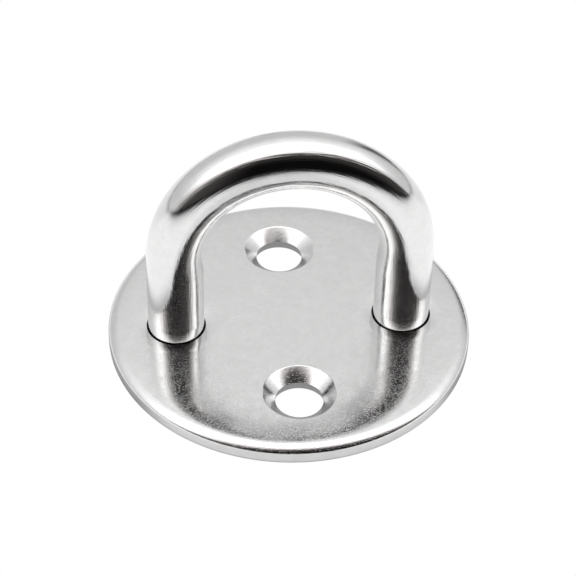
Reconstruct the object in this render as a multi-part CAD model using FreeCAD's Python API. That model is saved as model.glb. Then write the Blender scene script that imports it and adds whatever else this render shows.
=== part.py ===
"""Round eye plate: a stamped disc that carries a bent round bar, welded in from underneath.

Sizes are in millimetres. Z points up and the mounting face lies at Z = 0. The bow stands in the
XZ plane, and the two countersunk screw holes lie along Y, in front of the bow and behind it.
"""
import FreeCAD
import Part
import math
import os

from FreeCAD import Vector

# Base plate, a round blank stamped from sheet with its good side up
PLATE_DIAMETER = 40.0
PLATE_THICKNESS = 2.7
DOME_DROP = 0.25
SHOULDER_WIDTH = 5.0
SHOULDER_DROP = 0.47
RIM_ROLL_WIDTH = 1.0
RIM_ROLL_DEPTH = 0.95
RIM_ROLL_START_ANGLE = 11.0
RIM_ROLL_MEET_ANGLE = 38.0
RIM_BOTTOM_CHAMFER = 0.5

# Countersunk screw holes
SCREW_EDGE_DISTANCE = 8.35
SCREW_HOLE_DIAMETER = 5.2
COUNTERSINK_DIAMETER = 8.0
COUNTERSINK_ANGLE = 90.0
SCREW_HOLE_CHAMFER = 0.3

# Bow, a round bar bent over a former
ROD_DIAMETER = 6.2
LEG_EDGE_DISTANCE = 7.5
BEND_CENTRE_HEIGHT = 12.15
BEND_ROD_DIAMETER = 5.95
BEND_BLEND_LENGTH = 2.4
ROD_END_RECESS = 0.3
ROD_END_CHAMFER = 0.4

# Where each leg passes through the plate
LEG_CLEARANCE = 0.14
LIP_WIDTH = 1.5
LIP_DEPTH = 0.12
WELD_GROOVE_WIDTH = 1.2
WELD_GROOVE_DEPTH = 1.2
WELD_DISH = 0.12

# How far a cutting shape reaches past the face that it cuts
CUT_PAST = 1.0

PLATE_RADIUS = PLATE_DIAMETER / 2
RIDGE_RADIUS = PLATE_RADIUS - RIM_ROLL_WIDTH
DOME_EDGE_RADIUS = RIDGE_RADIUS - SHOULDER_WIDTH
DOME_BEND = (DOME_EDGE_RADIUS ** 2 + DOME_DROP ** 2) / (2 * DOME_DROP)
SCREW_Y = PLATE_RADIUS - SCREW_EDGE_DISTANCE
ROD_RADIUS = ROD_DIAMETER / 2
BEND_ROD_RADIUS = BEND_ROD_DIAMETER / 2
LEG_X = PLATE_RADIUS - LEG_EDGE_DISTANCE
LEG_HOLE_RADIUS = ROD_RADIUS + LEG_CLEARANCE
WELD_TOE_RADIUS = LEG_HOLE_RADIUS + WELD_GROOVE_WIDTH
ORIGIN = Vector(0, 0, 0)
UP = Vector(0, 0, 1)


def at(radius, height):
    """A point of a profile drawn in the half plane beside the Z axis."""
    return Vector(radius, 0, height)


def line(start, end):
    """A straight edge."""
    return Part.LineSegment(start, end).toShape()


def arc(start, middle, end):
    """A circular edge through three points."""
    return Part.Arc(start, middle, end).toShape()


def path(points):
    """The straight edges that join the points one after another."""
    return [line(start, end) for start, end in zip(points, points[1:])]


def turned(edges, x=0.0, y=0.0):
    """The solid that a closed profile sweeps in one turn about the upright axis through (x, y)."""
    solid = Part.Face(Part.Wire(edges)).revolve(ORIGIN, UP, 360)
    solid.translate(Vector(x, y, 0))
    return solid


def dome_slope(radius):
    """How steeply the dome falls at a distance from the plate's middle, as an angle."""
    return math.asin(radius / DOME_BEND)


def dome_fall(radius):
    """How far the dome has fallen at a distance from the plate's middle."""
    return DOME_BEND * (1 - math.cos(dome_slope(radius)))


def falling_arc(start, radius, slope_start, slope_end):
    """A circular edge outwards and down from start, between two slopes, and its far end."""
    def point(slope):
        return at(
            start.x + radius * (math.sin(slope) - math.sin(slope_start)),
            start.z - radius * (math.cos(slope_start) - math.cos(slope)),
        )
    end = point(slope_end)
    return arc(start, point((slope_start + slope_end) / 2), end), end


def rim_roll(ridge):
    """The rolled-over rim: two tangent arcs, a wide one on top and a tight one at the side.

    They leave the shoulder at a ridge, reach the upright side wall tangent to it, and together
    cover the width and the depth of the roll.
    """
    begin = math.radians(RIM_ROLL_START_ANGLE)
    meet = math.radians(RIM_ROLL_MEET_ANGLE)
    top_run = math.sin(meet) - math.sin(begin)
    side_run = 1 - math.sin(meet)
    top_fall = math.cos(begin) - math.cos(meet)
    side_fall = math.cos(meet)
    scale = top_run * side_fall - side_run * top_fall
    top_radius = (RIM_ROLL_WIDTH * side_fall - side_run * RIM_ROLL_DEPTH) / scale
    side_radius = (RIM_ROLL_DEPTH * top_run - top_fall * RIM_ROLL_WIDTH) / scale
    top, joint = falling_arc(ridge, top_radius, begin, meet)
    side, rim = falling_arc(joint, side_radius, meet, math.pi / 2)
    return [top, side], rim


def base_blank():
    """The round blank: domed top, steeper shoulder, rolled-over rim and broken bottom edge."""
    summit = at(0, PLATE_THICKNESS)
    dome, dome_edge = falling_arc(summit, DOME_BEND, 0, dome_slope(DOME_EDGE_RADIUS))
    ridge = at(RIDGE_RADIUS, dome_edge.z - SHOULDER_DROP)
    roll, rim = rim_roll(ridge)
    edges = path([
        summit,
        at(0, 0),
        at(PLATE_RADIUS - RIM_BOTTOM_CHAMFER, 0),
        at(PLATE_RADIUS, RIM_BOTTOM_CHAMFER),
        rim,
    ])
    return turned(edges + roll[::-1] + [line(ridge, dome_edge), dome])


def screw_hole_cutter(y):
    """The space of one screw hole: chamfer underneath, straight bore and countersink on top."""
    bore = SCREW_HOLE_DIAMETER / 2
    sink = COUNTERSINK_DIAMETER / 2
    spread = math.tan(math.radians(COUNTERSINK_ANGLE / 2))
    sink_depth = (sink - bore) / spread
    top = PLATE_THICKNESS - dome_fall(SCREW_Y)
    return turned(path([
        at(0, -CUT_PAST),
        at(bore + SCREW_HOLE_CHAMFER, -CUT_PAST),
        at(bore + SCREW_HOLE_CHAMFER, 0),
        at(bore, SCREW_HOLE_CHAMFER),
        at(bore, top - sink_depth),
        at(sink + CUT_PAST * spread, top + CUT_PAST),
        at(0, top + CUT_PAST),
        at(0, -CUT_PAST),
    ]), y=y)


def leg_hole_cutter(x):
    """The space of one leg hole: weld groove underneath and straight bore."""
    return turned(path([
        at(0, -CUT_PAST),
        at(WELD_TOE_RADIUS, -CUT_PAST),
        at(WELD_TOE_RADIUS, 0),
        at(LEG_HOLE_RADIUS, WELD_GROOVE_DEPTH),
        at(LEG_HOLE_RADIUS, PLATE_THICKNESS + CUT_PAST),
        at(0, PLATE_THICKNESS + CUT_PAST),
        at(0, -CUT_PAST),
    ]), x=x)


def lip_cutter(side):
    """The space over the dished lip of one leg hole, a shallow cone that leans with the dome."""
    edge = at(LEG_HOLE_RADIUS + LIP_WIDTH, -dome_fall(LEG_HOLE_RADIUS + LIP_WIDTH))
    tip = at(0, edge.z - LIP_DEPTH * edge.x / LIP_WIDTH)
    cutter = turned(path([at(0, CUT_PAST), tip, edge, at(edge.x, CUT_PAST), at(0, CUT_PAST)]))
    cutter.rotate(ORIGIN, Vector(0, 1, 0), side * math.degrees(dome_slope(LEG_X)))
    cutter.translate(Vector(side * LEG_X, 0, PLATE_THICKNESS - dome_fall(LEG_X)))
    return cutter


def base_plate():
    """The stamped disc with two countersunk screw holes and two punched leg holes."""
    cutters = [screw_hole_cutter(side * SCREW_Y) for side in (-1, 1)]
    cutters += [leg_hole_cutter(side * LEG_X) for side in (-1, 1)]
    cutters += [lip_cutter(side) for side in (-1, 1)]
    return base_blank().cut(cutters)


def level_ring(x, z, radius):
    """A level circular outline of the bar, flush with the outside of the leg at x."""
    return Part.Wire(Part.Circle(Vector(x, 0, z), UP, radius).toShape())


def bend_arch():
    """The half turn of the bow, a little slimmer than the bar and set out flush with its outside."""
    section = level_ring(LEG_X + ROD_RADIUS - BEND_ROD_RADIUS, 0, BEND_ROD_RADIUS)
    arch = Part.Face(section).revolve(ORIGIN, Vector(0, -1, 0), 180)
    arch.translate(Vector(0, 0, BEND_CENTRE_HEIGHT))
    return arch


def bend_blend(side):
    """The short stretch of one leg where the bar eases into the slimmer bend."""
    sections = []
    for share in (0, 0.2, 0.5, 0.8, 1):
        ease = share * share * (3 - 2 * share)
        radius = ROD_RADIUS + ease * (BEND_ROD_RADIUS - ROD_RADIUS)
        height = BEND_CENTRE_HEIGHT - BEND_BLEND_LENGTH * (1 - share)
        sections.append(level_ring(side * (LEG_X + ROD_RADIUS - radius), height, radius))
    return Part.makeLoft(sections, True, True)


def leg(side):
    """One straight leg, from its chamfered end inside the plate up to the blend."""
    top = BEND_CENTRE_HEIGHT - BEND_BLEND_LENGTH
    return turned(path([
        at(0, ROD_END_RECESS),
        at(ROD_RADIUS - ROD_END_CHAMFER, ROD_END_RECESS),
        at(ROD_RADIUS, ROD_END_RECESS + ROD_END_CHAMFER),
        at(ROD_RADIUS, top),
        at(0, top),
        at(0, ROD_END_RECESS),
    ]), x=side * LEG_X)


def eye_bow():
    """The bent bar: two legs, two blends and the arch between them, one solid."""
    pieces = [shape(side) for side in (-1, 1) for shape in (leg, bend_blend)]
    return bend_arch().fuse(pieces).removeSplitter()


def weld_ring(side):
    """The weld that fills the groove round one leg, dished so that nothing stands proud."""
    toe = at(WELD_TOE_RADIUS, 0)
    inner = at(ROD_RADIUS - ROD_END_CHAMFER, ROD_END_RECESS)
    dish = at((toe.x + inner.x) / 2, (toe.z + inner.z) / 2 + WELD_DISH)
    return turned(path([
        inner,
        at(ROD_RADIUS, ROD_END_RECESS + ROD_END_CHAMFER),
        at(ROD_RADIUS, WELD_GROOVE_DEPTH),
        at(LEG_HOLE_RADIUS, WELD_GROOVE_DEPTH),
        toe,
        dish,
        inner,
    ]), x=side * LEG_X)


def main():
    """Build every piece and write one file for each."""
    pieces = {
        "base_plate": base_plate(),
        "eye_bow": eye_bow(),
        "weld_left": weld_ring(-1),
        "weld_right": weld_ring(1),
    }
    os.makedirs("parts", exist_ok=True)
    for name, shape in pieces.items():
        shape.exportStep("parts/" + name + ".step")
        box = shape.BoundBox
        print(
            name, shape.ShapeType, len(shape.Solids), "solid", shape.isValid(),
            "volume", round(shape.Volume, 3),
            "z", round(box.ZMin, 3), round(box.ZMax, 3),
        )


main()
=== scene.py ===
"""A round stainless steel eye plate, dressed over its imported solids.

The plate is a stamped disc with two countersunk screw holes. A bent round bar passes through two
punched holes and is welded in from underneath. Sizes are in millimetres and meshes in metres.
"""
import logging
import math
from dataclasses import dataclass, field
from enum import Enum, IntEnum
from functools import reduce
from typing import Callable

import bpy
import numpy as np
from mathutils import Matrix, Vector
from mathutils.geometry import delaunay_2d_cdt


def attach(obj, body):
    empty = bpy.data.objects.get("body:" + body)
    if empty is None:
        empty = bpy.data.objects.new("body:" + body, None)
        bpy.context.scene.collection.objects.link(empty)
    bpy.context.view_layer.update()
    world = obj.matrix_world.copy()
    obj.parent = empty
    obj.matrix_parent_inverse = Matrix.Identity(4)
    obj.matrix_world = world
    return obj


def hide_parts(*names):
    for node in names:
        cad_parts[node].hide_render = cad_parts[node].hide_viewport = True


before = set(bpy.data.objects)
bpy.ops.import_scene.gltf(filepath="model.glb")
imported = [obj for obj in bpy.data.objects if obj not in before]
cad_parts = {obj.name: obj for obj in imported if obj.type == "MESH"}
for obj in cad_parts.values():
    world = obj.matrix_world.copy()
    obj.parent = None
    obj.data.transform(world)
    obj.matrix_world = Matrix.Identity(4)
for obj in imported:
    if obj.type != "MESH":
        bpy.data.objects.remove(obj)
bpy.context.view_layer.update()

MM = 0.001
MM_PER_METRE = 1000.0
BODY = "root"
LOG = logging.getLogger("eye_plate")

# Points of a sheet that lie closer than this many millimetres are one
MERGE_DISTANCE = 1e-7
# A face whose middle is nearer than this share of a hole's radius lies inside the hole
CHORD_SHARE = 0.9995

Array = np.ndarray
Ring = list[int]
Faces = list[tuple[int, ...]]
Materials = list[bpy.types.Material]
Pair = tuple[float, float]
Triple = tuple[float, float, float]
# Where a smooth ramp starts and ends, and then what it gives below and above, if not 0 and 1
Ramp = tuple[float, ...]
Socket = bpy.types.NodeSocket
Value = Socket | float


class Side(Enum):
    """The two sides of the plate, as a factor of X."""

    LEFT = -1.0
    RIGHT = 1.0


class Hand(Enum):
    """Which way a patch of faces is wound, as a factor of its normals."""

    INWARD = -1
    OUTWARD = 1


class PlateSlot(IntEnum):
    """The finishes of the plate, in the order of its material slots."""

    TOP = 0
    CUT = 1
    GROUND = 2
    SHEARED = 3


class BowSlot(IntEnum):
    """The finishes of the bar, in the order of its material slots."""

    BAR = 0
    END = 1


@dataclass
class MeshDraft:
    """Points, faces and corner normals that become one mesh.

    Neighbouring patches share their edge points, and each patch brings its own normals, so an
    edge between two patches stays crisp while each patch shades smoothly. The bar points, one for
    each point, are places along and across the straight bar in metres, for its drawn lines.
    """

    name: str
    points: list[Triple] = field(default_factory=list)
    faces: Faces = field(default_factory=list)
    corner_normals: list[Triple] = field(default_factory=list)
    face_slots: list[int] = field(default_factory=list)
    bar_points: list[Triple] = field(default_factory=list)

    def add_points(self, points: Array) -> Ring:
        """Add points in millimetres.

        Args:
            points: One row of x, y and z for each point.

        Returns:
            The index of each new point.
        """
        first = len(self.points)
        self.points.extend(map(tuple, np.asarray(points, float) * MM))
        return list(range(first, len(self.points)))

    def in_mm(self, indices: Ring) -> Array:
        """The points of these indices in millimetres, as rows."""
        return np.array([self.points[index] for index in indices]) / MM

    def add_faces(self, faces: Faces, normals: dict[int, Triple], slot: int = 0) -> None:
        """Add the faces of one patch with its normals.

        Args:
            faces: Point indices of each face.
            normals: The patch's own normal at each point that it uses.
            slot: Material slot of the patch.
        """
        for face in faces:
            self.faces.append(face)
            self.face_slots.append(int(slot))
            self.corner_normals.extend(normals[index] for index in face)

    def build(self, materials: Materials) -> bpy.types.Object:
        """Make the Blender object.

        Args:
            materials: Finishes in the order of the patches' slots.

        Returns:
            The new object, linked to the scene.
        """
        mesh = bpy.data.meshes.new(self.name)
        mesh.from_pydata(self.points, [], self.faces)
        mesh.polygons.foreach_set("material_index", self.face_slots)
        mesh.polygons.foreach_set("use_smooth", [True] * len(self.faces))
        for material in materials:
            mesh.materials.append(material)
        if self.bar_points:
            layer = mesh.attributes.new("bar_point", "FLOAT_VECTOR", "POINT")
            layer.data.foreach_set("vector", np.ravel(self.bar_points))
        mesh.normals_split_custom_set(self.corner_normals)
        mesh.update()
        piece = bpy.data.objects.new(self.name, mesh)
        bpy.context.scene.collection.objects.link(piece)
        return piece


@dataclass(frozen=True)
class Profile:
    """A smooth curve in the half plane beside an upright axis, which is turned into one patch.

    The lift is how far each point round a ring moves out and up, where the top isn't level, and
    lift_left is the share of it at the curve's end.
    """

    radii: Array
    heights: Array
    slot: int = 0
    lift: Array | float = 0.0
    lift_left: float = 1.0

    def normals(self) -> Array:
        """Unit normals of the curve, to the left of its direction of travel."""
        along_r, along_z = np.gradient(self.radii), np.gradient(self.heights)
        return np.stack([-along_z, along_r], axis=-1) / np.hypot(along_r, along_z)[:, None]


def straight(start: Pair, end: Pair, count: int, slot: int) -> Profile:
    """A straight profile from one radius and height to another."""
    return Profile(np.linspace(start[0], end[0], count), np.linspace(start[1], end[1], count), slot)


def turns(count: int) -> Array:
    """Even angles round one whole turn."""
    return np.arange(count) * 2.0 * math.pi / count


def distance_from(places: Array, centre: Pair = (0.0, 0.0)) -> Array:
    """How far each row of places lies from an upright axis."""
    return np.hypot(places[:, 0] - centre[0], places[:, 1] - centre[1])


def circle_points(
    radius: Array | float, count: int, centre: Pair = (0.0, 0.0), height: Array | float = 0.0
) -> Array:
    """Points evenly round an upright axis.

    Args:
        radius: Distance from the axis, one for all points or one for each.
        count: How many points.
        centre: X and Y of the axis.
        height: Height, one for all points or one for each.

    Returns:
        One row of x, y and z for each point.
    """
    x = centre[0] + radius * np.cos(turns(count))
    y = centre[1] + radius * np.sin(turns(count))
    return np.stack([x, y, np.full(count, height, float)], axis=-1)


def ring_quads(rings: list[Ring], hand: Hand) -> Faces:
    """Four-sided faces between rings of one size.

    Args:
        rings: The rings, one after another.
        hand: OUTWARD where the faces look to the left of the way from ring to ring.

    Returns:
        Point indices of each face.
    """
    faces: Faces = []
    for inner, outer in zip(rings, rings[1:]):
        faces += zip(inner, outer, outer[1:] + outer[:1], inner[1:] + inner[:1])
    return [face[::hand.value] for face in faces]


def turned_patches(
    draft: MeshDraft,
    profiles: list[Profile],
    ring: Ring,
    centre: Pair = (0.0, 0.0),
    hand: Hand = Hand.OUTWARD,
) -> Ring:
    """Turn profiles about an upright axis and add each as one smooth patch.

    Args:
        draft: The mesh in the making.
        profiles: The curves to turn, each from where the one before it ends.
        ring: The neighbour's ring that the first patch starts from.
        centre: X and Y of the axis.
        hand: OUTWARD where the normals point to the left of the curves.

    Returns:
        The last ring.
    """
    flip, count = hand.value, len(ring)
    for profile in profiles:
        rings: list[Ring] = []
        normals: dict[int, Triple] = {}
        last = len(profile.radii) - 1
        rows = zip(profile.radii, profile.heights, profile.normals())
        for step, (radius, height, normal) in enumerate(rows):
            if step > 0:
                raised = profile.lift * (1.0 + (profile.lift_left - 1.0) * step / last)
                ring = draft.add_points(circle_points(radius + raised, count, centre, height + raised))
            rings.append(ring)
            side = flip * normal[0]
            for index, angle in zip(ring, turns(count)):
                normals[index] = (side * math.cos(angle), side * math.sin(angle), flip * normal[1])
        draft.add_faces(ring_quads(rings, hand), normals, profile.slot)
    return ring


def sheet_patch(
    draft: MeshDraft,
    loops: list[Ring],
    extra: Array,
    outer: float,
    holes: list[tuple[Pair, float]],
    normal_at: Callable[[Array], Array],
    hand: Hand = Hand.OUTWARD,
    slot: int = 0,
) -> None:
    """Fill a disc between closed loops with triangles, through extra points.

    Args:
        draft: The mesh in the making.
        loops: Closed loops of points that exist already, the disc's edge and its holes' edges.
        extra: Further points inside the area.
        outer: Radius of the disc.
        holes: Middle and radius of each hole, which stays open.
        normal_at: Gives the normal for each point, as rows.
        hand: OUTWARD where the faces look up, INWARD where they look down.
        slot: Material slot.
    """
    indices = [index for loop in loops for index in loop] + draft.add_points(extra)
    coords = draft.in_mm(indices)
    edges: Faces = []
    for loop in loops:
        places = list(range(len(edges), len(edges) + len(loop)))
        edges += zip(places, places[1:] + places[:1])
    flat = [Vector((x, y)) for x, y in coords[:, :2]]
    corners, _, triangles, origins, _, _ = delaunay_2d_cdt(flat, edges, [], 0, MERGE_DISTANCE)
    source = [origin[0] for origin in origins]
    plane = np.array([(corner.x, corner.y) for corner in corners])
    tri = np.array([face for face in triangles if len(face) == 3])
    middles = plane[tri].mean(axis=1)
    inside = distance_from(middles) < outer
    for centre, radius in holes:
        inside &= distance_from(middles, centre) > radius * CHORD_SHARE
    tri = tri[inside]
    across = plane[tri[:, 1]] - plane[tri[:, 0]]
    along = plane[tri[:, 2]] - plane[tri[:, 0]]
    upward = across[:, 0] * along[:, 1] - across[:, 1] * along[:, 0] > 0
    turned_over = upward != (hand is Hand.OUTWARD)
    tri[turned_over] = tri[turned_over][:, ::-1]
    normals = dict(zip(indices, map(tuple, normal_at(coords))))
    faces = [tuple(indices[source[corner]] for corner in face) for face in tri]
    draft.add_faces(faces, normals, slot)


class GroupName(Enum):
    """The shared surface effects."""

    GRAIN = "steel_grain"
    LINES = "draw_lines"


@dataclass(frozen=True)
class NodeSheet:
    """Adds and wires the nodes of one shader tree."""

    tree: bpy.types.NodeTree

    @classmethod
    def for_group(cls, name: GroupName, inputs: tuple[str, ...], outputs: tuple[str, ...]) -> "NodeSheet":
        """Start the node group of a shared effect.

        Args:
            name: Name of the group.
            inputs: Names of the numbers that it takes after the Place.
            outputs: Names of the numbers that it puts out.

        Returns:
            The sheet of its nodes.
        """
        face = bpy.data.node_groups.new(name.value, "ShaderNodeTree").interface
        face.new_socket("Place", in_out="INPUT", socket_type="NodeSocketVector")
        for way, labels in (("INPUT", inputs), ("OUTPUT", outputs)):
            for label in labels:
                face.new_socket(label, in_out=way, socket_type="NodeSocketFloat")
        return cls(face.id_data)

    def add(self, kind: str, **settings: object) -> bpy.types.Node:
        """Add a node.

        Args:
            kind: Blender's name of the node type.
            settings: Properties to set on it.

        Returns:
            The new node.
        """
        node = self.tree.nodes.new(kind)
        for name, value in settings.items():
            setattr(node, name, value)
        return node

    def feed(self, socket: Socket, value: object) -> None:
        """Link a socket to another, or set its plain value.

        Args:
            socket: The input.
            value: An output socket or a plain value.
        """
        if isinstance(value, Socket):
            self.tree.links.new(value, socket)
        else:
            socket.default_value = value

    def fed(self, node: bpy.types.Node, *values: object) -> bpy.types.Node:
        """Feed the inputs of a node.

        Args:
            node: The node.
            values: What its first inputs get, in order.

        Returns:
            The node.
        """
        for socket, value in zip(node.inputs, values):
            self.feed(socket, value)
        return node

    def math(self, operation: str, *values: Value) -> Socket:
        """The result of a Math node with one to three inputs."""
        return self.fed(self.add("ShaderNodeMath", operation=operation), *values).outputs[0]

    def product(self, *values: Value) -> Socket:
        """Several values multiplied, one after another."""
        return reduce(lambda so_far, value: self.math("MULTIPLY", so_far, value), values)

    def faded(self, value: Value, mask: Value, depth: float = 1.0) -> Socket:
        """A value that is lowered by a share of itself, the depth, where a mask is 1."""
        return self.product(value, self.math("MULTIPLY_ADD", mask, -depth, 1.0))

    def reach(self, x: Value, y: Value) -> Socket:
        """The distance of a place from the upright axis."""
        return self.math("SQRT", self.math("MULTIPLY_ADD", x, x, self.product(y, y)))

    def ease(self, value: Value, low: Value, high: Value, start: Value = 0.0, end: Value = 1.0) -> Socket:
        """A smooth ramp of a value, from start below low to end above high."""
        node = self.add("ShaderNodeMapRange", interpolation_type="SMOOTHSTEP")
        return self.fed(node, value, low, high, start, end).outputs["Result"]

    def axes(self, coordinates: str) -> list[Socket]:
        """X, Y and Z of the texture coordinates of this name."""
        place = self.add("ShaderNodeTexCoord").outputs[coordinates]
        return list(self.fed(self.add("ShaderNodeSeparateXYZ"), place).outputs)

    def scaled(self, vector: Socket, factors: object) -> Socket:
        """A vector times a vector of factors."""
        return self.fed(self.add("ShaderNodeVectorMath", operation="MULTIPLY"), vector, factors).outputs[0]

    def noise(self, vector: Socket, scale: Value, octaves: float, fine: float) -> Socket:
        """A noise of about 0 to 1 with a number of octaves and the weight of the finer ones."""
        node = self.fed(self.add("ShaderNodeTexNoise"), vector, 0.0, scale, octaves, fine)
        return node.outputs["Fac"]

    def mix_colour(self, share: Value, first: object, second: object) -> Socket:
        """A blend of two colours.

        Args:
            share: 0 gives the first, 1 the second.
            first: Socket or RGBA.
            second: Socket or RGBA.

        Returns:
            The blended colour.
        """
        node = self.add("ShaderNodeMix", data_type="RGBA")
        colours = [socket for socket in (*node.inputs, *node.outputs) if socket.type == "RGBA"]
        for socket, value in zip((node.inputs[0], *colours), (share, first, second)):
            self.feed(socket, value)
        return colours[-1]

    def bump(self, height: Socket, micrometres: float, normal: Socket | None = None) -> Socket:
        """Bend the normal by a height.

        Args:
            height: The height, about 0 to 1.
            micrometres: How high 1 stands on the real surface.
            normal: A normal that is bent already, to start from.

        Returns:
            The bent normal.
        """
        node = self.add("ShaderNodeBump")
        self.feed(node.inputs["Distance"], micrometres * MM * MM)
        self.feed(node.inputs["Height"], height)
        if normal is not None:
            self.feed(node.inputs["Normal"], normal)
        return node.outputs["Normal"]

    def white_if_seen(self, value: Value) -> tuple[Socket, Socket]:
        """A light's level, with plain white for the camera, and the mask of the camera's rays."""
        seen = self.add("ShaderNodeLightPath").outputs["Is Camera Ray"]
        return self.math("ADD", self.faded(value, seen), seen), seen


@dataclass(frozen=True)
class SteelGrain:
    """Shared effect: the fine pebbled grain that tumbling and polishing leave on steel.

    Each pair of octaves holds their number and the weight of the finer ones.
    """

    name: GroupName = GroupName.GRAIN
    grain_octaves: Pair = (2.0, 0.6)
    pit_octaves: Pair = (0.0, 0.5)
    pit_ramp: Ramp = (0.60, 0.68, 0.0, -1.0)
    wave_octaves: Pair = (1.0, 0.4)
    patches_per_mm: float = 0.7
    patch_octaves: Pair = (5.0, 0.75)

    def build(self) -> bpy.types.NodeTree:
        """Make the group once.

        Returns:
            The node group, with Height and Patch as outputs.
        """
        inputs = ("Grain per mm", "Pits", "Wave per mm", "Wave")
        sheet = NodeSheet.for_group(self.name, inputs, ("Height", "Patch"))
        place, grain_per_mm, pits, wave_per_mm, wave = sheet.add("NodeGroupInput").outputs[:-1]
        place = sheet.scaled(place, [MM_PER_METRE] * 3)
        grain = sheet.noise(place, grain_per_mm, *self.grain_octaves)
        speckle = sheet.noise(place, grain_per_mm, *self.pit_octaves)
        height = sheet.math("MULTIPLY_ADD", sheet.ease(speckle, *self.pit_ramp), pits, grain)
        swell = sheet.noise(place, wave_per_mm, *self.wave_octaves)
        height = sheet.math("MULTIPLY_ADD", swell, wave, height)
        patch = sheet.noise(place, self.patches_per_mm, *self.patch_octaves)
        sheet.fed(sheet.add("NodeGroupOutput"), height, patch)
        return sheet.tree


@dataclass(frozen=True)
class DrawLines:
    """Shared effect: fine lines along a drawn and polished bar."""

    name: GroupName = GroupName.LINES
    octaves: Pair = (2.0, 0.55)

    def build(self) -> bpy.types.NodeTree:
        """Make the group once.

        Returns:
            The node group, with Height as its output.
        """
        sheet = NodeSheet.for_group(self.name, ("Lines per mm", "Length mm"), ("Height",))
        place, lines_per_mm, length = sheet.add("NodeGroupInput").outputs[:-1]
        across = sheet.product(lines_per_mm, MM_PER_METRE)
        along = sheet.math("DIVIDE", MM_PER_METRE, length)
        factors = sheet.fed(sheet.add("ShaderNodeCombineXYZ"), along, across, across).outputs[0]
        height = sheet.noise(sheet.scaled(place, factors), 1.0, *self.octaves)
        sheet.fed(sheet.add("NodeGroupOutput"), height)
        return sheet.tree


@dataclass(frozen=True)
class SteelFinish:
    """One finish of the stainless steel, with the same metal and its own surface."""

    name: str
    roughness: float
    grain_per_mm: float
    grain_height_um: float
    tint: Triple = (0.750, 0.749, 0.748)
    shade: Triple = (0.605, 0.602, 0.600)
    roughness_spread: float = 0.06
    patch_ramp: Ramp = (0.35, 0.65)
    pits: float = 0.3
    wave_per_mm: float = 0.25
    wave: float = 1.0
    lines_per_mm: float = 6.0
    line_length_mm: float = 3.0
    line_height_um: float = 0.0

    def build(self, groups: dict[GroupName, bpy.types.NodeTree]) -> bpy.types.Material:
        """Make the material.

        Args:
            groups: The shared effects.

        Returns:
            The material.
        """
        material = bpy.data.materials.new(self.name)
        material.use_nodes = True
        sheet = NodeSheet(material.node_tree)
        inputs = material.node_tree.nodes["Principled BSDF"].inputs
        place = sheet.add("ShaderNodeTexCoord").outputs["Object"]
        grain = sheet.fed(
            sheet.add("ShaderNodeGroup", node_tree=groups[GroupName.GRAIN]),
            place, self.grain_per_mm, self.pits, self.wave_per_mm, self.wave,
        )
        patch = grain.outputs["Patch"]
        sheet.feed(inputs["Base Color"], sheet.mix_colour(patch, (*self.tint, 1.0), (*self.shade, 1.0)))
        low = self.roughness - self.roughness_spread / 2
        high = self.roughness + self.roughness_spread / 2
        sheet.feed(inputs["Roughness"], sheet.ease(patch, *self.patch_ramp, low, high))
        inputs["Metallic"].default_value = 1.0
        normal = sheet.bump(grain.outputs["Height"], self.grain_height_um)
        if self.line_height_um > 0.0:
            lines = sheet.fed(
                sheet.add("ShaderNodeGroup", node_tree=groups[GroupName.LINES]),
                sheet.add("ShaderNodeAttribute", attribute_name="bar_point").outputs["Vector"],
                self.lines_per_mm, self.line_length_mm,
            )
            normal = sheet.bump(lines.outputs["Height"], self.line_height_um, normal)
        sheet.feed(inputs["Normal"], normal)
        return material


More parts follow.
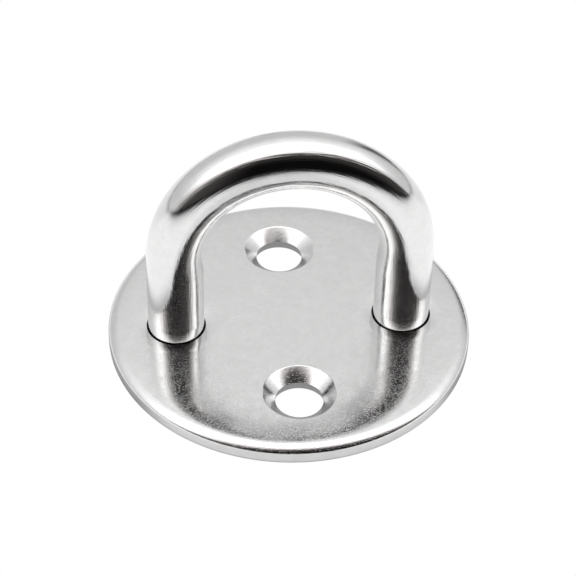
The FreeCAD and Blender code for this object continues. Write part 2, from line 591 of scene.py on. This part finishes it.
@dataclass
class BasePlate:
    """The stamped disc: domed top, rolled rim, two countersunk holes and two punched ones.

    A mouth is the radius of a hole outside its rounded edge, and a foot or toe is its radius on
    the mounting face. The fields from rim_count on say how finely the curves are divided, and
    give the pitch, the margins and the reach of the points that carry the top.
    """

    radius: float = 19.993
    thickness: float = 2.36
    dome_edge: float = 14.0
    dome_drop: float = 0.05
    dome_power: float = 3.0
    ridge: float = 19.0
    shoulder_drop: float = 0.135
    shoulder_power: float = 5.0
    ridge_kick: float = 0.08
    ridge_power: int = 60
    roll_depth: float = 0.86
    roll_start: float = math.radians(12.0)
    roll_meet: float = math.radians(44.0)
    roll_end: float = math.radians(76.0)
    wall_ease: float = 0.12
    bottom_break: float = 0.5
    screw_y: float = 11.65
    bore_radius: float = 2.6
    sink_mouth: float = 4.07
    sink_slope_top: float = math.radians(37.0)
    sink_slope_foot: float = math.radians(44.0)
    sink_edge: float = 0.07
    bore_foot: float = 2.9
    bore_foot_height: float = 0.75
    leg_x: float = 12.5
    leg_hole_radius: float = 3.24
    leg_mouth: float = 3.3
    leg_edge: float = 0.06
    lip_width: float = 1.5
    lip_depth: float = 0.12
    crease_depth: float = 0.006
    crease_width: float = 0.3
    groove_toe: float = 4.44
    groove_depth: float = 1.2

    rim_count: int = 288
    hole_count: int = 144
    edge_rings: int = 7
    cone_rings: int = 13
    bore_rings: int = 4
    break_rings: int = 3
    bottom_rings: int = 8
    roll_rings: tuple[int, int] = (14, 22)
    lip_rings: int = 24
    ring_pitch: float = 0.25
    fine_band: float = 1.0
    fine_pitch: float = 0.1
    grid_pitch: float = 0.7
    grid_margin: float = 0.3
    near_margin: float = 0.2
    hole_margin: float = 0.15
    crease_reach: float = 2.2
    slope_step: float = 1e-3
    edge_rounds: int = 4

    def dome(self, radius: Array) -> Array:
        """How far the dome, its steeper shoulder and the turn at the ridge fall.

        Args:
            radius: Distances from the plate's axis.

        Returns:
            The fall below the summit.
        """
        inner = self.dome_drop * (radius / self.dome_edge) ** self.dome_power
        width = self.ridge - self.dome_edge
        power = self.ridge_power + 1
        slope = self.dome_power * self.dome_drop / self.dome_edge
        added = self.shoulder_drop / width - slope - self.ridge_kick / power
        share = np.clip((radius - self.dome_edge) / width, 0.0, 1.0)
        fall = slope * share + added * share**self.shoulder_power + self.ridge_kick * share**power / power
        return np.where(share > 0.0, self.dome_drop + width * fall, inner)

    def lip(self, distance: Array) -> Array:
        """How far the rolled-in lip of a leg hole and the faint crease round it fall.

        Args:
            distance: Distances from the hole's axis.

        Returns:
            The fall below the plate's top.
        """
        inside = self.leg_hole_radius + self.lip_width - distance
        inward, crease = np.clip(inside, 0.0, self.lip_width), inside / self.crease_width
        bend = (self.lip_width**2 + self.lip_depth**2) / (2.0 * self.lip_depth)
        return bend - np.sqrt(bend * bend - inward * inward) + self.crease_depth * np.exp(-crease * crease)

    def top_height(self, x: Array, y: Array) -> Array:
        """Height of the plate's top at each place inside the ridge."""
        lips = sum(self.lip(np.hypot(x - leg, y)) for leg, _ in self.leg_centres())
        return self.thickness - self.dome(np.hypot(x, y)) - lips

    def top_normals(self, points: Array) -> Array:
        """Normals of the plate's top.

        Args:
            points: One row for each point.

        Returns:
            One unit normal for each point.
        """
        x, y = points[:, 0], points[:, 1]
        step = self.slope_step
        slope_x = (self.top_height(x + step, y) - self.top_height(x - step, y)) / (2 * step)
        slope_y = (self.top_height(x, y + step) - self.top_height(x, y - step)) / (2 * step)
        normals = np.stack([-slope_x, -slope_y, np.ones_like(x)], axis=-1)
        return normals / np.linalg.norm(normals, axis=1, keepdims=True)

    def screw_centres(self) -> list[Pair]:
        """Middles of the two screw holes."""
        return [(0.0, -self.screw_y), (0.0, self.screw_y)]

    def leg_centres(self) -> list[Pair]:
        """Middles of the two leg holes."""
        return [(side.value * self.leg_x, 0.0) for side in Side]

    def holes(self, screw: float, leg: float) -> list[tuple[Pair, float]]:
        """Middle and radius of each hole, first the screw holes and then the leg holes."""
        screws = [(place, screw) for place in self.screw_centres()]
        return screws + [(place, leg) for place in self.leg_centres()]

    def on_top(self, points: Array) -> Array:
        """The points lifted onto the plate's top."""
        lifted = points.copy()
        lifted[:, 2] = self.top_height(points[:, 0], points[:, 1])
        return lifted

    def top_points(self) -> Array:
        """The points that carry the shape of the top between its edges.

        Returns:
            One row for each point.
        """
        inner, ridge, pitch = self.dome_edge, self.ridge, self.fine_pitch
        coarse = np.arange(inner, ridge - self.fine_band, self.ring_pitch)
        fine = np.arange(ridge - (self.fine_band - pitch), ridge - pitch / 2, pitch)
        rings = [circle_points(radius, self.rim_count) for radius in (*coarse, *fine)]
        grid = np.arange(-inner, inner, self.grid_pitch)
        mesh_x, mesh_y = np.meshgrid(grid, grid)
        flat = np.stack([mesh_x.ravel(), mesh_y.ravel(), np.zeros(mesh_x.size)], axis=-1)
        open_field = np.vstack([*rings, flat[distance_from(flat) < inner - self.grid_margin]])
        crease_end = self.leg_hole_radius + self.lip_width + self.crease_reach * self.crease_width
        lip_radii = np.linspace(self.leg_mouth, crease_end, self.lip_rings)[1:]
        near = [[self.sink_mouth + self.near_margin]] * 2 + [lip_radii] * 2
        around = []
        clear = self.holes(self.sink_mouth + self.grid_margin, crease_end + self.near_margin)
        for (centre, reach), radii in zip(clear, near):
            open_field = open_field[distance_from(open_field, centre) > reach]
            around += [circle_points(radius, self.hole_count, centre) for radius in radii]
        return self.on_top(np.vstack([open_field, *around]))

    def rim(self) -> list[Profile]:
        """The rolled rim of two arcs, the sheared side wall and the rounded bottom edge.

        Returns:
            Their profiles from the ridge outwards and down.
        """
        width, bottom = self.radius - self.ridge, self.bottom_break
        begin, meet = self.roll_start, self.roll_meet
        top_run, side_run = math.sin(meet) - math.sin(begin), 1.0 - math.sin(meet)
        top_fall, side_fall = math.cos(begin) - math.cos(meet), math.cos(meet)
        scale = top_run * side_fall - side_run * top_fall
        top_bend = (width * side_fall - side_run * self.roll_depth) / scale
        side_bend = (self.roll_depth * top_run - top_fall * width) / scale
        ridge_z = self.thickness - self.dome_drop - self.shoulder_drop
        top = np.linspace(begin, meet, self.roll_rings[0])
        side = np.linspace(meet, self.roll_end, self.roll_rings[1])[1:]
        top_r = self.ridge + top_bend * (np.sin(top) - math.sin(begin))
        top_z = ridge_z - top_bend * (math.cos(begin) - np.cos(top))
        side_r = top_r[-1] + side_bend * (np.sin(side) - math.sin(meet))
        side_z = top_z[-1] - side_bend * (math.cos(meet) - np.cos(side))
        wall_r = np.array([side_r[-1], self.radius, self.radius, self.radius])
        wall_z = np.array([side_z[-1], side_z[-1] - self.wall_ease, (side_z[-1] + bottom) / 2, bottom])
        turn = np.linspace(0.0, math.pi / 2, self.bottom_rings)
        foot_r, foot_z = self.radius - bottom + bottom * np.cos(turn), bottom * (1.0 - np.sin(turn))
        return [
            Profile(np.append(top_r, side_r), np.append(top_z, side_z), PlateSlot.TOP),
            Profile(wall_r, wall_z, PlateSlot.SHEARED),
            Profile(foot_r, foot_z, PlateSlot.SHEARED),
        ]

    def screw_edge(self, centre: Pair) -> tuple[Array, float]:
        """Where a countersink's cone meets the domed top.

        Args:
            centre: X and Y of the hole.

        Returns:
            How far the edge moves out and up at each point round the hole, and its mean height.
        """
        level = float(self.top_height(np.array(centre[0]), np.array(centre[1])))
        lift = np.zeros(self.hole_count)
        for _ in range(self.edge_rounds):
            ring = circle_points(self.sink_mouth + lift, self.hole_count, centre)
            lift = self.top_height(ring[:, 0], ring[:, 1]) - level
        return lift, level

    def screw_hole(self, centre: Pair) -> list[Profile]:
        """The countersink with its rounded edge, the bore and its break underneath.

        Args:
            centre: X and Y of the hole.

        Returns:
            Their profiles from the top down.
        """
        bore, foot = self.bore_radius, self.bore_foot_height
        lift, top = self.screw_edge(centre)
        bend = np.linspace(0.0, self.sink_slope_top, self.edge_rings)
        edge_bend = self.sink_edge / math.tan(self.sink_slope_top / 2.0)
        edge_r, edge_z = self.sink_mouth - edge_bend * np.sin(bend), top - edge_bend * (1 - np.cos(bend))
        inward = np.linspace(0.0, edge_r[-1] - bore, self.cone_rings)
        steep, gentle = math.tan(self.sink_slope_foot), math.tan(self.sink_slope_top)
        cone_z = edge_z[-1] - (gentle * inward + (steep - gentle) * inward * inward / (2.0 * inward[-1]))
        return [
            Profile(edge_r, edge_z, PlateSlot.TOP, lift),
            Profile(edge_r[-1] - inward, cone_z, PlateSlot.CUT, lift, lift_left=0.0),
            straight((bore, cone_z[-1]), (bore, foot), self.bore_rings, PlateSlot.CUT),
            straight((bore, foot), (self.bore_foot, 0.0), self.break_rings, PlateSlot.CUT),
        ]

    def leg_hole(self, level: float) -> list[Profile]:
        """The bore of a leg hole with its rounded edge, and its weld groove underneath.

        Args:
            level: Height of the hole's mouth.

        Returns:
            Their profiles from the top down.
        """
        bore, edge, depth = self.leg_hole_radius, self.leg_edge, self.groove_depth
        bend = np.linspace(0.0, math.pi / 2, self.edge_rings)
        return [
            Profile(bore + edge * (1.0 - np.sin(bend)), level - edge * (1.0 - np.cos(bend)), PlateSlot.TOP),
            straight((bore, level - edge), (bore, depth), self.bore_rings, PlateSlot.CUT),
            straight((bore, depth), (self.groove_toe, 0.0), self.bore_rings, PlateSlot.GROUND),
        ]

    def build(self, materials: Materials) -> bpy.types.Object:
        """Build the whole plate.

        Args:
            materials: Finishes in the order of PlateSlot.

        Returns:
            The plate.
        """
        screws, legs = self.screw_centres(), self.leg_centres()
        draft = MeshDraft("dressed_plate")
        ridge = draft.add_points(self.on_top(circle_points(self.ridge, self.rim_count)))
        mouths = [(place, self.sink_mouth + self.screw_edge(place)[0]) for place in screws]
        mouths += [(place, self.leg_mouth) for place in legs]
        edges = [
            draft.add_points(self.on_top(circle_points(radius, self.hole_count, place)))
            for place, radius in mouths
        ]
        holes = self.holes(self.sink_mouth - self.hole_margin, self.leg_mouth)
        sheet_patch(draft, [ridge, *edges], self.top_points(), self.ridge, holes, self.top_normals)
        loops = [turned_patches(draft, self.rim(), ridge)]
        profiles = [self.screw_hole(place) for place in screws]
        profiles += [self.leg_hole(draft.in_mm(edge)[:, 2].mean()) for edge in edges[len(screws):]]
        for hole, edge, place in zip(profiles, edges, screws + legs):
            loops.append(turned_patches(draft, hole, edge, place, Hand.INWARD))
        flat_edge, feet = self.radius - self.bottom_break, self.holes(self.bore_foot, self.groove_toe)
        sheet_patch(
            draft, loops, np.zeros((0, 3)), flat_edge, feet,
            lambda points: np.tile((0.0, 0.0, -1.0), (len(points), 1)), Hand.INWARD, PlateSlot.GROUND,
        )
        piece = draft.build(materials)
        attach(piece, BODY)
        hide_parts("base_plate")
        return piece


@dataclass
class EyeBow:
    """The bent round bar, from one recessed end through both legs and the bend to the other."""

    bar_radius: float = 3.1
    bend_bar_radius: float = 2.975
    leg_x: float = 12.5
    bend_height: float = 12.144
    blend_length: float = 2.4
    inside_power: float = 2.26
    end_recess: float = 0.3
    end_chamfer: float = 0.4
    around: int = 144
    leg_rings: int = 24
    blend_steps: int = 24
    bend_steps: int = 200

    def stations(self) -> list[tuple[Array, float, float, float]]:
        """The rings along the bar, from the left end to the right one.

        Returns:
            For each ring its middle, the angle of the bar, its radius and the way along the bar.
        """
        low = self.end_recess + self.end_chamfer
        blend_start = self.bend_height - self.blend_length
        left = [(-self.leg_x, z, self.bar_radius) for z in np.linspace(low, blend_start, self.leg_rings)]
        for share in np.linspace(0.0, 1.0, self.blend_steps + 1)[1:]:
            eased = share * share * (3.0 - 2.0 * share)
            radius = self.bar_radius + eased * (self.bend_bar_radius - self.bar_radius)
            middle = -(self.leg_x + self.bar_radius - radius)
            left.append((middle, blend_start + share * self.blend_length, radius))
        bend = self.leg_x + self.bar_radius - self.bend_bar_radius
        rows = [(np.array([x, 0.0, z]), 0.0, radius, z) for x, z, radius in left]
        for turn in np.linspace(0.0, math.pi, self.bend_steps + 1)[1:-1]:
            middle = np.array([-bend * math.cos(turn), 0.0, self.bend_height + bend * math.sin(turn)])
            rows.append((middle, turn, self.bend_bar_radius, self.bend_height + bend * turn))
        far = self.bend_height + bend * math.pi
        for x, z, radius in reversed(left):
            rows.append((np.array([-x, 0.0, z]), math.pi, radius, far + self.bend_height - z))
        return rows

    def section(self, around: Array, power: float) -> tuple[Array, Array]:
        """The bar's section with a radius of one, squared a little on the inside of the bend.

        Args:
            around: Direction of the normal at each point, from the outside of the bend.
            power: 2 for a round inside, more where the former has flattened it.

        Returns:
            How far each point lies outwards and sideways.
        """
        out, side = np.cos(around), np.sin(around)
        powers = np.where(out < 0.0, power, 2.0)
        root = 1.0 / (powers - 1.0)
        far, wide = np.abs(out) ** root, np.abs(side) ** root
        size = (far**powers + wide**powers) ** (1.0 / powers)
        return np.sign(out) * far / size, np.sign(side) * wide / size

    def build(self, materials: Materials) -> bpy.types.Object:
        """Build the whole bar.

        Args:
            materials: Finishes in the order of BowSlot.

        Returns:
            The bar.
        """
        draft = MeshDraft("dressed_bow")
        around = turns(self.around)
        sideways = (0.0, 1.0, 0.0)
        rings: list[Ring] = []
        normals: dict[int, Triple] = {}
        for middle, turn, radius, along in self.stations():
            outward = np.array([-math.cos(turn), 0.0, math.sin(turn)])
            sides = np.outer(np.cos(around), outward) + np.outer(np.sin(around), sideways)
            pressed = (self.bar_radius - radius) / (self.bar_radius - self.bend_bar_radius)
            far, wide = self.section(around, 2.0 + pressed * (self.inside_power - 2.0))
            ring = draft.add_points(middle + radius * (np.outer(far, outward) + np.outer(wide, sideways)))
            rings.append(ring)
            for index, side, angle in zip(ring, sides, around):
                normals[index] = tuple(side)
                place = (along, radius * math.cos(angle), radius * math.sin(angle))
                draft.bar_points.append(tuple(number * MM for number in place))
        draft.add_faces(ring_quads(rings, Hand.OUTWARD), normals, BowSlot.BAR)
        for ring, x in ((rings[0], -self.leg_x), (rings[-1], self.leg_x)):
            self.add_end(draft, ring, x)
        piece = draft.build(materials)
        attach(piece, BODY)
        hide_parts("eye_bow")
        return piece

    def add_end(self, draft: MeshDraft, ring: Ring, x: float) -> None:
        """Close one end of the bar with its chamfer and its flat face.

        Args:
            draft: The mesh in the making.
            ring: The ring above the chamfer.
            x: X of the leg's axis.
        """
        points = draft.in_mm(ring)
        spokes = points - (x, 0.0, points[0][2])
        spokes[:, 2] = 0.0
        spokes /= np.linalg.norm(spokes, axis=1, keepdims=True)
        face_radius = self.bar_radius - self.end_chamfer
        edge = draft.add_points(spokes * face_radius + (x, 0.0, self.end_recess))
        middle = draft.add_points(np.array([(x, 0.0, self.end_recess)]))[0]
        slants = [*map(tuple, (spokes - (0.0, 0.0, 1.0)) * math.sqrt(0.5))]
        tilted = dict(zip(ring + edge, slants * 2))
        level = dict.fromkeys([*edge, middle], (0.0, 0.0, -1.0))
        hand = Hand.OUTWARD if x > 0.0 else Hand.INWARD
        ahead = edge[1:] + edge[:1]
        caps = [(here, there, middle)[::-hand.value] for here, there in zip(edge, ahead)]
        draft.add_faces(ring_quads([ring, edge], hand), tilted, BowSlot.END)
        draft.add_faces(caps, level, BowSlot.END)
        for spoke in spokes:
            draft.bar_points.append((0.0, spoke[0] * face_radius * MM, spoke[1] * face_radius * MM))
        draft.bar_points.append((0.0, 0.0, 0.0))


@dataclass
class WeldRing:
    """The weld round one leg in its groove underneath, laid down in overlapping ripples."""

    side: Side
    plate: BasePlate = field(default_factory=BasePlate)
    bar: EyeBow = field(default_factory=EyeBow)
    dish: float = 0.12
    ripple: float = 0.028
    ripples: int = 26
    ripple_lag: float = 2.4
    ripple_power: float = 0.7
    around: int = 312
    across: int = 22

    def build(self, materials: Materials) -> bpy.types.Object:
        """Build the weld.

        Args:
            materials: Finish of the weld.

        Returns:
            The weld.
        """
        name = self.side.name.lower()
        draft = MeshDraft("dressed_weld_" + name)
        centre = (self.side.value * self.plate.leg_x, 0.0)
        inner_r = self.bar.bar_radius - self.bar.end_chamfer
        rings = []
        for share in np.linspace(0.0, 1.0, self.across):
            radius = inner_r + share * (self.plate.groove_toe - inner_r)
            bow = 4.0 * share * (1.0 - share)
            lag = self.ripples * turns(self.around) + self.ripple_lag * bow
            wave = self.ripple * bow * (0.5 + 0.5 * np.cos(lag)) ** self.ripple_power
            height = self.bar.end_recess * (1.0 - share) + self.dish * bow - wave
            points = circle_points(radius, self.around, centre, np.maximum(height, 0.0))
            rings.append(draft.add_points(points))
        grid = np.array(draft.points).reshape(self.across, self.around, 3)
        outward = np.gradient(grid, axis=0)
        sideways = np.roll(grid, -1, axis=1) - np.roll(grid, 1, axis=1)
        tilt = -np.cross(outward, sideways)
        tilt /= np.linalg.norm(tilt, axis=2, keepdims=True)
        normals = dict(enumerate(map(tuple, tilt.reshape(-1, 3))))
        draft.add_faces(ring_quads(rings, Hand.INWARD), normals)
        piece = draft.build(materials)
        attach(piece, BODY)
        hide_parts("weld_" + name)
        return piece


@dataclass(frozen=True)
class Studio:
    """The pale floor, the soft light round it and the camera.

    The light is laid out in degrees from the zenith: across to the right, and back, which is
    negative on the camera's side. The two front lines give back as a lean times across, plus an
    offset. The floor glows, plain white to the camera; to other rays its glow is a painted pattern
    of light and shade: brighter to the sides, darker towards the front, the back and far away, with
    a painted contact shadow under and round the plate and painted shade beside its sides. The
    floor's ramps are in millimetres from the plate's middle.
    """

    azimuth: float = -0.11366
    elevation: float = 0.75851
    distance: float = 229.70
    yaw: float = 0.00114
    pitch: float = -0.02181
    roll: float = 0.02323
    lens: float = 128.56
    sensor: float = 36.0
    clip: Pair = (0.01, 10.0)

    box_light: float = 2.5
    glow_light: float = 0.65
    wall_light: float = 0.75
    back_lean: float = 0.22
    box_left: Ramp = (-84.0, -40.0)
    box_right: Ramp = (88.0, 40.0)
    box_back: Ramp = (26.0, 5.0)
    glow_back: Ramp = (66.0, 16.0)
    glow_sides: Ramp = (84.0, 40.0, 0.1, 1.0)
    corner_across: Ramp = (30.0, 50.0)
    corner_back: Ramp = (46.0, 60.0)
    corner_shade: float = 0.8
    front_dark: Pair = (0.13, -37.0)
    front_light: Pair = (0.05, -8.0)
    gloom_front: Ramp = (-60.0, -34.0, 0.005, 0.055)
    gloom_left: Ramp = (-16.0, -56.0, 0.0, 0.06)
    gloom_tint: tuple[float, ...] = (1.0, 0.93, 0.91, 1.0)
    white: tuple[float, ...] = (1.0, 1.0, 1.0, 1.0)
    black: tuple[float, ...] = (0.0, 0.0, 0.0, 1.0)
    zenith_guard: float = 1e-4

    floor_half: float = 1500.0
    floor_drop: float = 0.02
    # The floor's glow for all but the camera is a painted pattern of light and shade: brighter to the sides,
    # darker towards the front, the back and far away
    floor_light: float = 0.95
    side_floor_light: float = 1.25
    floor_beyond: Ramp = (20.5, 25.0)
    floor_aside: Ramp = (4.0, 16.0)
    floor_front: Ramp = (-150.0, -26.0, 0.03, 1.0)
    floor_back: Ramp = (5.0, 40.0, 1.0, 0.85)
    floor_far: Ramp = (60.0, 600.0, 1.0, 0.45)
    # Painted shade: the floor's glow is dimmed beside the plate's sides, just behind its front
    shade_back: Ramp = (-16.0, -9.0)
    shade_reach: Ramp = (26.0, 20.0)
    shade_aside: Ramp = (12.0, 17.0)
    shade_depth: float = 0.55
    # Painted contact shadow: the floor glows dimmer under the plate and right round its edge
    painted_contact_shadow: Ramp = (19.6, 20.7, 0.4, 1.0)

    def towards(self, azimuth: float, elevation: float) -> Vector:
        """A unit vector out from the origin, from the front round to the right and up."""
        level = math.cos(elevation)
        return Vector((math.sin(azimuth) * level, -math.cos(azimuth) * level, math.sin(elevation)))

    def build_camera(self) -> bpy.types.Object:
        """Place the camera.

        Returns:
            The camera, made the scene's own.
        """
        place = self.towards(self.azimuth, self.elevation) * self.distance * MM
        ahead = -self.towards(self.azimuth + self.yaw, self.elevation + self.pitch)
        right = ahead.cross(Vector((0.0, 0.0, 1.0))).normalized()
        above = right.cross(ahead)
        rolled_right = right * math.cos(self.roll) + above * math.sin(self.roll)
        rolled_up = above * math.cos(self.roll) - right * math.sin(self.roll)
        data = bpy.data.cameras.new("studio_camera")
        data.lens = self.lens
        data.sensor_width = self.sensor
        data.clip_start, data.clip_end = self.clip
        camera = bpy.data.objects.new("studio_camera", data)
        turn = Matrix((rolled_right, rolled_up, -ahead)).transposed().to_4x4()
        camera.matrix_world = Matrix.Translation(place) @ turn
        bpy.context.scene.collection.objects.link(camera)
        bpy.context.scene.camera = camera
        return camera

    def build_world(self) -> None:
        """Light the scene with a large soft box overhead, grey walls and an open dark front."""
        world = bpy.data.worlds.new("studio_light")
        bpy.context.scene.world = world
        world.use_nodes = True
        sheet = NodeSheet(world.node_tree)
        x, y, z = sheet.axes("Generated")
        level = sheet.math("MAXIMUM", sheet.reach(x, y), self.zenith_guard)
        from_top = sheet.math("DEGREES", sheet.math("ARCTAN2", level, z))
        across, back = [sheet.math("DIVIDE", sheet.product(from_top, part), level) for part in (x, y)]
        side = sheet.math("ABSOLUTE", across)
        behind = sheet.math("MULTIPLY_ADD", side, self.back_lean, back)
        left, right = sheet.ease(across, *self.box_left), sheet.ease(across, *self.box_right)
        box = sheet.product(left, right, sheet.ease(behind, *self.box_back))
        glow = sheet.product(sheet.ease(behind, *self.glow_back), sheet.ease(side, *self.glow_sides))
        lit = sheet.math("MULTIPLY_ADD", glow, self.glow_light, self.wall_light)
        lit = sheet.math("MULTIPLY_ADD", box, self.box_light - self.wall_light - self.glow_light, lit)
        corner = sheet.product(sheet.ease(across, *self.corner_across), sheet.ease(back, *self.corner_back))
        lit = sheet.faded(lit, corner, self.corner_shade)
        edges = [sheet.math("MULTIPLY_ADD", across, *line) for line in (self.front_dark, self.front_light)]
        front = sheet.ease(back, *edges)
        gloom = sheet.math("ADD", sheet.ease(back, *self.gloom_front), sheet.ease(across, *self.gloom_left))
        light = sheet.math("ADD", sheet.product(lit, front), sheet.faded(gloom, front))
        light, seen = sheet.white_if_seen(light)
        neutral = sheet.math("MAXIMUM", front, seen)
        inputs = world.node_tree.nodes["Background"].inputs
        sheet.feed(inputs["Strength"], light)
        sheet.feed(inputs["Color"], sheet.mix_colour(neutral, self.gloom_tint, self.white))

    def build_floor(self) -> bpy.types.Object:
        """Lay the pale floor.

        Returns:
            The floor.
        """
        draft = MeshDraft("pale_floor")
        half, low = self.floor_half, -self.floor_drop
        corners = [(-half, -half, low), (half, -half, low), (half, half, low), (-half, half, low)]
        ring = draft.add_points(np.array(corners))
        draft.add_faces([tuple(ring)], dict.fromkeys(ring, (0.0, 0.0, 1.0)))
        # The floor's material only glows: plain white to the camera, and a painted pattern of light and
        # shade to all other rays
        material = bpy.data.materials.new("floor_glow_painted_light")
        material.use_nodes = True
        sheet = NodeSheet(material.node_tree)
        inputs = material.node_tree.nodes["Principled BSDF"].inputs
        inputs["Base Color"].default_value = self.black
        inputs["Specular IOR Level"].default_value = 0.0
        inputs["Roughness"].default_value = 1.0
        inputs["Emission Color"].default_value = self.white
        x, y = [sheet.product(part, MM_PER_METRE) for part in sheet.axes("Object")[:2]]
        reach, aside = sheet.reach(x, y), sheet.math("ABSOLUTE", x)
        # Painted light and shade on the floor's glow: brighter to the sides, darker towards the front, the
        # back and far away
        beyond = sheet.ease(reach, *self.floor_beyond, self.floor_light, self.side_floor_light)
        level = sheet.product(
            sheet.ease(aside, *self.floor_aside, self.floor_light, beyond),
            sheet.ease(y, *self.floor_front),
            sheet.ease(y, *self.floor_back),
            sheet.ease(reach, *self.floor_far),
            # painted contact shadow under and round the plate
            sheet.ease(reach, *self.painted_contact_shadow),
        )
        # Painted shade on the floor's glow beside the plate's sides
        beside = sheet.product(
            sheet.ease(y, *self.shade_back),
            sheet.ease(reach, *self.shade_reach),
            sheet.ease(aside, *self.shade_aside),
        )
        level, _ = sheet.white_if_seen(sheet.faded(level, beside, self.shade_depth))
        sheet.feed(inputs["Emission Strength"], level)
        floor = draft.build([material])
        return floor


def main() -> None:
    """Build the pieces in order and report them."""
    logging.basicConfig(level=logging.INFO, format="%(name)s: %(message)s")
    groups = {effect.name: effect.build() for effect in (SteelGrain(), DrawLines())}
    finishes = [
        SteelFinish("plate_top_steel", roughness=0.14, grain_per_mm=6.0, grain_height_um=3.4, pits=1.5),
        SteelFinish("cut_edge_steel", roughness=0.16, grain_per_mm=6.0, grain_height_um=4.0, pits=1.0),
        SteelFinish("ground_steel", roughness=0.30, grain_per_mm=5.0, grain_height_um=2.0),
        SteelFinish("bar_steel", roughness=0.08, grain_per_mm=8.0, grain_height_um=1.5, line_height_um=14.0),
        SteelFinish("weld_steel_finish", roughness=0.35, grain_per_mm=6.0, grain_height_um=3.0),
        SteelFinish("sheared_edge_steel", roughness=0.36, grain_per_mm=6.0, grain_height_um=3.0),
    ]
    top, cut, ground, bar, weld, sheared = [finish.build(groups) for finish in finishes]
    pieces = [BasePlate().build([top, cut, ground, sheared]), EyeBow().build([bar, ground])]
    pieces += [WeldRing(side).build([weld]) for side in Side]
    for piece in pieces:
        LOG.info("%s: %d faces", piece.name, len(piece.data.polygons))
    studio = Studio()
    studio.build_world()
    studio.build_floor()
    studio.build_camera()
    bpy.context.scene.view_settings.view_transform = "Standard"


if __name__ == "__main__":
    main()
